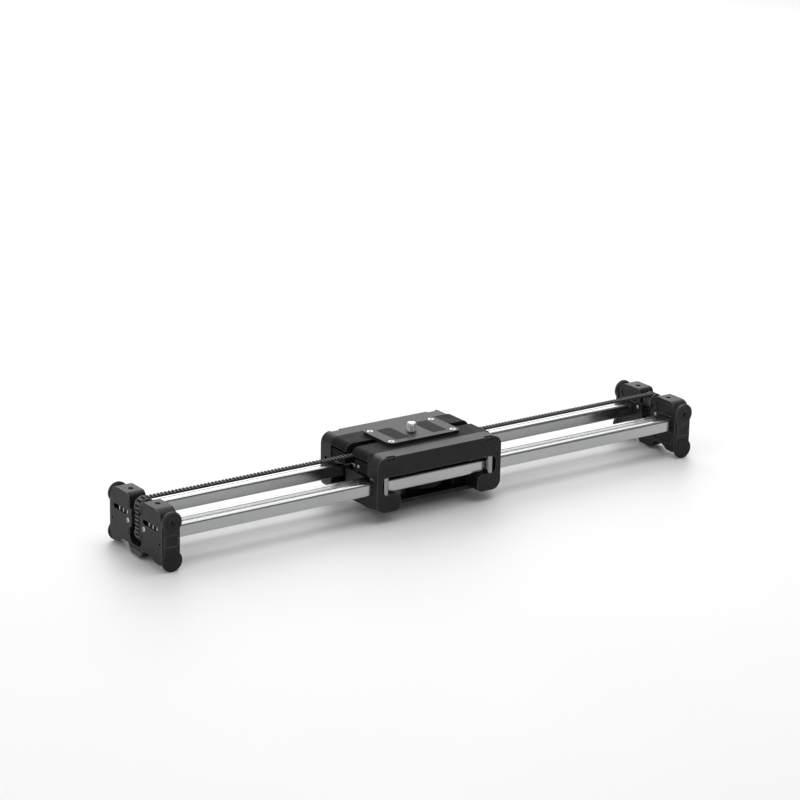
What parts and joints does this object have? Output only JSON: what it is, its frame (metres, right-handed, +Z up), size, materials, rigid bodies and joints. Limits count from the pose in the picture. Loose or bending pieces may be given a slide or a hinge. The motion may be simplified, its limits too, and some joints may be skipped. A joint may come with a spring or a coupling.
{
  "type": "camera slider",
  "caption": "Belt-coupled camera slider: a camera carriage and a tripod carriage run opposite ways on two flat rails between end blocks with fold-out legs.",
  "frame": {"origin": "on the ground under the middle of the rails, midway between the end blocks", "axes": "+X along the rails towards the right end block, +Y towards the rear rail, +Z up"},
  "size_m": [0.6204, 0.1004, 0.0765],
  "materials": {
    "silver_rail": "brushed and clear anodised",
    "black_metal": "satin black anodised",
    "black_plastic": "fine moulded grain",
    "grey_plastic": "satin moulded",
    "foot_rubber": "matte",
    "belt_rubber": "matte, toothed",
    "chrome": "polished",
    "steel": "turned"
  },
  "bodies": {
    "rail_frame": {"front_rail": "silver_rail", "rear_rail": "silver_rail", "left_end_block": "black_metal", "right_end_block": "black_metal", "left_end_pad": "foot_rubber", "right_end_pad": "foot_rubber", "drive_belt": "belt_rubber", "left_upper_axle": "steel", "left_lower_axle": "steel", "right_upper_axle": "steel", "right_lower_axle": "steel", "pivot_bolt_left_front": "black_metal", "pivot_bolt_left_rear": "black_metal", "pivot_bolt_right_front": "black_metal", "pivot_bolt_right_rear": "black_metal"},
    "camera_carriage": {"front_side_plate": "black_metal", "rear_side_plate": "black_metal", "front_cover": "black_plastic", "rear_cover": "black_plastic", "camera_deck": "black_metal", "upper_belt_clamp": "grey_plastic"},
    "tripod_carriage": {"base_plate": "black_metal", "tripod_frame": "black_metal", "lower_belt_clamp": "grey_plastic"},
    "camera_screw": {"camera_screw": "steel"},
    "ribbed_wheel": {"ribbed_wheel": "black_plastic"},
    "left_upper_idler": {"left_upper_idler": "grey_plastic"},
    "left_lower_idler": {"left_lower_idler": "grey_plastic"},
    "right_upper_idler": {"right_upper_idler": "grey_plastic"},
    "right_lower_idler": {"right_lower_idler": "grey_plastic"},
    "top_roller_left_front": {"top_roller_left_front": "steel"},
    "low_roller_left_front": {"low_roller_left_front": "grey_plastic"},
    "side_roller_left_front": {"side_roller_left_front": "chrome"},
    "guide_roller_left_front": {"guide_roller_left_front": "steel"},
    "support_roller_left_front": {"support_roller_left_front": "steel"},
    "top_roller_left_rear": {"top_roller_left_rear": "steel"},
    "low_roller_left_rear": {"low_roller_left_rear": "grey_plastic"},
    "side_roller_left_rear": {"side_roller_left_rear": "chrome"},
    "guide_roller_left_rear": {"guide_roller_left_rear": "steel"},
    "support_roller_left_rear": {"support_roller_left_rear": "steel"},
    "top_roller_right_front": {"top_roller_right_front": "steel"},
    "low_roller_right_front": {"low_roller_right_front": "grey_plastic"},
    "side_roller_right_front": {"side_roller_right_front": "chrome"},
    "guide_roller_right_front": {"guide_roller_right_front": "steel"},
    "support_roller_right_front": {"support_roller_right_front": "steel"},
    "top_roller_right_rear": {"top_roller_right_rear": "steel"},
    "low_roller_right_rear": {"low_roller_right_rear": "grey_plastic"},
    "side_roller_right_rear": {"side_roller_right_rear": "chrome"},
    "guide_roller_right_rear": {"guide_roller_right_rear": "steel"},
    "support_roller_right_rear": {"support_roller_right_rear": "steel"},
    "leg_left_front": {"leg_arm_left_front": "black_metal", "foot_left_front": "foot_rubber"},
    "leg_left_rear": {"leg_arm_left_rear": "black_metal", "foot_left_rear": "foot_rubber"},
    "leg_right_front": {"leg_arm_right_front": "black_metal", "foot_right_front": "foot_rubber"},
    "leg_right_rear": {"leg_arm_right_rear": "black_metal", "foot_right_rear": "foot_rubber"}
  },
  "joints": [
    {"name": "camera_slide", "type": "slide", "parent": "rail_frame", "child": "camera_carriage", "axis": [1, 0, 0], "range_m": [-0.2125, 0.2205]},
    {"name": "tripod_slide", "type": "slide", "parent": "rail_frame", "child": "tripod_carriage", "axis": [1, 0, 0], "range_m": [-0.2205, 0.2125]},
    {"name": "left_upper_idler_spin", "type": "hinge", "parent": "rail_frame", "child": "left_upper_idler", "pos_m": [-0.2996, 0, 0.048], "axis": [0, 1, 0], "range_deg": [-1750, 1750]},
    {"name": "left_lower_idler_spin", "type": "hinge", "parent": "rail_frame", "child": "left_lower_idler", "pos_m": [-0.2996, 0, 0.0219], "axis": [0, 1, 0], "range_deg": [-1750, 1750]},
    {"name": "right_upper_idler_spin", "type": "hinge", "parent": "rail_frame", "child": "right_upper_idler", "pos_m": [0.2996, 0, 0.048], "axis": [0, 1, 0], "range_deg": [-1750, 1750]},
    {"name": "right_lower_idler_spin", "type": "hinge", "parent": "rail_frame", "child": "right_lower_idler", "pos_m": [0.2996, 0, 0.0219], "axis": [0, 1, 0], "range_deg": [-1750, 1750]},
    {"name": "top_roller_left_front_spin", "type": "hinge", "parent": "camera_carriage", "child": "top_roller_left_front", "pos_m": [-0.061, -0.0263, 0.0483], "axis": [0, 1, 0], "range_deg": [-1750, 1750]},
    {"name": "low_roller_left_front_spin", "type": "hinge", "parent": "camera_carriage", "child": "low_roller_left_front", "pos_m": [-0.06, -0.03645, 0.0225], "axis": [0, 1, 0], "range_deg": [-2600, 2600]},
    {"name": "side_roller_left_front_spin", "type": "hinge", "parent": "camera_carriage", "child": "side_roller_left_front", "pos_m": [-0.0652, -0.0446, 0.0365], "axis": [0, 0, 1], "range_deg": [-4000, 4000]},
    {"name": "guide_roller_left_front_spin", "type": "hinge", "parent": "tripod_carriage", "child": "guide_roller_left_front", "pos_m": [-0.056, -0.014, 0.0345], "axis": [0, 0, 1], "range_deg": [-2200, 2200]},
    {"name": "support_roller_left_front_spin", "type": "hinge", "parent": "tripod_carriage", "child": "support_roller_left_front", "pos_m": [-0.041, -0.0252, 0.0215], "axis": [0, 1, 0], "range_deg": [-2200, 2200]},
    {"name": "top_roller_left_rear_spin", "type": "hinge", "parent": "camera_carriage", "child": "top_roller_left_rear", "pos_m": [-0.061, 0.0263, 0.0483], "axis": [0, 1, 0], "range_deg": [-1750, 1750]},
    {"name": "low_roller_left_rear_spin", "type": "hinge", "parent": "camera_carriage", "child": "low_roller_left_rear", "pos_m": [-0.06, 0.03645, 0.0225], "axis": [0, 1, 0], "range_deg": [-2600, 2600]},
    {"name": "side_roller_left_rear_spin", "type": "hinge", "parent": "camera_carriage", "child": "side_roller_left_rear", "pos_m": [-0.0652, 0.0446, 0.0365], "axis": [0, 0, 1], "range_deg": [-4000, 4000]},
    {"name": "guide_roller_left_rear_spin", "type": "hinge", "parent": "tripod_carriage", "child": "guide_roller_left_rear", "pos_m": [-0.056, 0.014, 0.0345], "axis": [0, 0, 1], "range_deg": [-2200, 2200]},
    {"name": "support_roller_left_rear_spin", "type": "hinge", "parent": "tripod_carriage", "child": "support_roller_left_rear", "pos_m": [-0.041, 0.0252, 0.0215], "axis": [0, 1, 0], "range_deg": [-2200, 2200]},
    {"name": "top_roller_right_front_spin", "type": "hinge", "parent": "camera_carriage", "child": "top_roller_right_front", "pos_m": [0.053, -0.0263, 0.0483], "axis": [0, 1, 0], "range_deg": [-1750, 1750]},
    {"name": "low_roller_right_front_spin", "type": "hinge", "parent": "camera_carriage", "child": "low_roller_right_front", "pos_m": [0.052, -0.03645, 0.0225], "axis": [0, 1, 0], "range_deg": [-2600, 2600]},
    {"name": "side_roller_right_front_spin", "type": "hinge", "parent": "camera_carriage", "child": "side_roller_right_front", "pos_m": [0.0572, -0.0446, 0.0365], "axis": [0, 0, 1], "range_deg": [-4000, 4000]},
    {"name": "guide_roller_right_front_spin", "type": "hinge", "parent": "tripod_carriage", "child": "guide_roller_right_front", "pos_m": [0.064, -0.014, 0.0345], "axis": [0, 0, 1], "range_deg": [-2200, 2200]},
    {"name": "support_roller_right_front_spin", "type": "hinge", "parent": "tripod_carriage", "child": "support_roller_right_front", "pos_m": [0.049, -0.0252, 0.0215], "axis": [0, 1, 0], "range_deg": [-2200, 2200]},
    {"name": "top_roller_right_rear_spin", "type": "hinge", "parent": "camera_carriage", "child": "top_roller_right_rear", "pos_m": [0.053, 0.0263, 0.0483], "axis": [0, 1, 0], "range_deg": [-1750, 1750]},
    {"name": "low_roller_right_rear_spin", "type": "hinge", "parent": "camera_carriage", "child": "low_roller_right_rear", "pos_m": [0.052, 0.03645, 0.0225], "axis": [0, 1, 0], "range_deg": [-2600, 2600]},
    {"name": "side_roller_right_rear_spin", "type": "hinge", "parent": "camera_carriage", "child": "side_roller_right_rear", "pos_m": [0.0572, 0.0446, 0.0365], "axis": [0, 0, 1], "range_deg": [-4000, 4000]},
    {"name": "guide_roller_right_rear_spin", "type": "hinge", "parent": "tripod_carriage", "child": "guide_roller_right_rear", "pos_m": [0.064, 0.014, 0.0345], "axis": [0, 0, 1], "range_deg": [-2200, 2200]},
    {"name": "support_roller_right_rear_spin", "type": "hinge", "parent": "tripod_carriage", "child": "support_roller_right_rear", "pos_m": [0.049, 0.0252, 0.0215], "axis": [0, 1, 0], "range_deg": [-2200, 2200]},
    {"name": "leg_fold_left_front", "type": "hinge", "parent": "rail_frame", "child": "leg_left_front", "pos_m": [-0.3, -0.0469, 0.0467], "axis": [0, 1, 0], "range_deg": [0, 110]},
    {"name": "leg_fold_left_rear", "type": "hinge", "parent": "rail_frame", "child": "leg_left_rear", "pos_m": [-0.3, 0.0469, 0.0467], "axis": [0, 1, 0], "range_deg": [0, 110]},
    {"name": "leg_fold_right_front", "type": "hinge", "parent": "rail_frame", "child": "leg_right_front", "pos_m": [0.3, -0.0469, 0.0467], "axis": [0, -1, 0], "range_deg": [0, 110]},
    {"name": "leg_fold_right_rear", "type": "hinge", "parent": "rail_frame", "child": "leg_right_rear", "pos_m": [0.3, 0.0469, 0.0467], "axis": [0, -1, 0], "range_deg": [0, 110]},
    {"name": "camera_screw_turn", "type": "hinge", "parent": "camera_carriage", "child": "camera_screw", "pos_m": [-0.004, 0, 0.0705], "axis": [0, 0, 1], "continuous": true},
    {"name": "ribbed_wheel_turn", "type": "hinge", "parent": "tripod_carriage", "child": "ribbed_wheel", "pos_m": [0.004, 0, 0.0213], "axis": [0, 0, 1], "continuous": true}
  ],
  "couplings": [
    {"joint": "tripod_slide", "follows": "camera_slide", "ratio": -1},
    {"joint": "left_upper_idler_spin", "follows": "camera_slide", "rad_per_m": 132.45},
    {"joint": "left_lower_idler_spin", "follows": "camera_slide", "rad_per_m": 132.45},
    {"joint": "right_upper_idler_spin", "follows": "camera_slide", "rad_per_m": 132.45},
    {"joint": "right_lower_idler_spin", "follows": "camera_slide", "rad_per_m": 132.45},
    {"joint": "top_roller_left_front_spin", "follows": "camera_slide", "rad_per_m": 133.33},
    {"joint": "low_roller_left_front_spin", "follows": "camera_slide", "rad_per_m": -200},
    {"joint": "side_roller_left_front_spin", "follows": "camera_slide", "rad_per_m": 312.5},
    {"joint": "guide_roller_left_front_spin", "follows": "camera_slide", "rad_per_m": 166.67},
    {"joint": "support_roller_left_front_spin", "follows": "camera_slide", "rad_per_m": 166.67},
    {"joint": "top_roller_left_rear_spin", "follows": "camera_slide", "rad_per_m": 133.33},
    {"joint": "low_roller_left_rear_spin", "follows": "camera_slide", "rad_per_m": -200},
    {"joint": "side_roller_left_rear_spin", "follows": "camera_slide", "rad_per_m": -312.5},
    {"joint": "guide_roller_left_rear_spin", "follows": "camera_slide", "rad_per_m": -166.67},
    {"joint": "support_roller_left_rear_spin", "follows": "camera_slide", "rad_per_m": 166.67},
    {"joint": "top_roller_right_front_spin", "follows": "camera_slide", "rad_per_m": 133.33},
    {"joint": "low_roller_right_front_spin", "follows": "camera_slide", "rad_per_m": -200},
    {"joint": "side_roller_right_front_spin", "follows": "camera_slide", "rad_per_m": 312.5},
    {"joint": "guide_roller_right_front_spin", "follows": "camera_slide", "rad_per_m": 166.67},
    {"joint": "support_roller_right_front_spin", "follows": "camera_slide", "rad_per_m": 166.67},
    {"joint": "top_roller_right_rear_spin", "follows": "camera_slide", "rad_per_m": 133.33},
    {"joint": "low_roller_right_rear_spin", "follows": "camera_slide", "rad_per_m": -200},
    {"joint": "side_roller_right_rear_spin", "follows": "camera_slide", "rad_per_m": -312.5},
    {"joint": "guide_roller_right_rear_spin", "follows": "camera_slide", "rad_per_m": -166.67},
    {"joint": "support_roller_right_rear_spin", "follows": "camera_slide", "rad_per_m": 166.67}
  ]
}
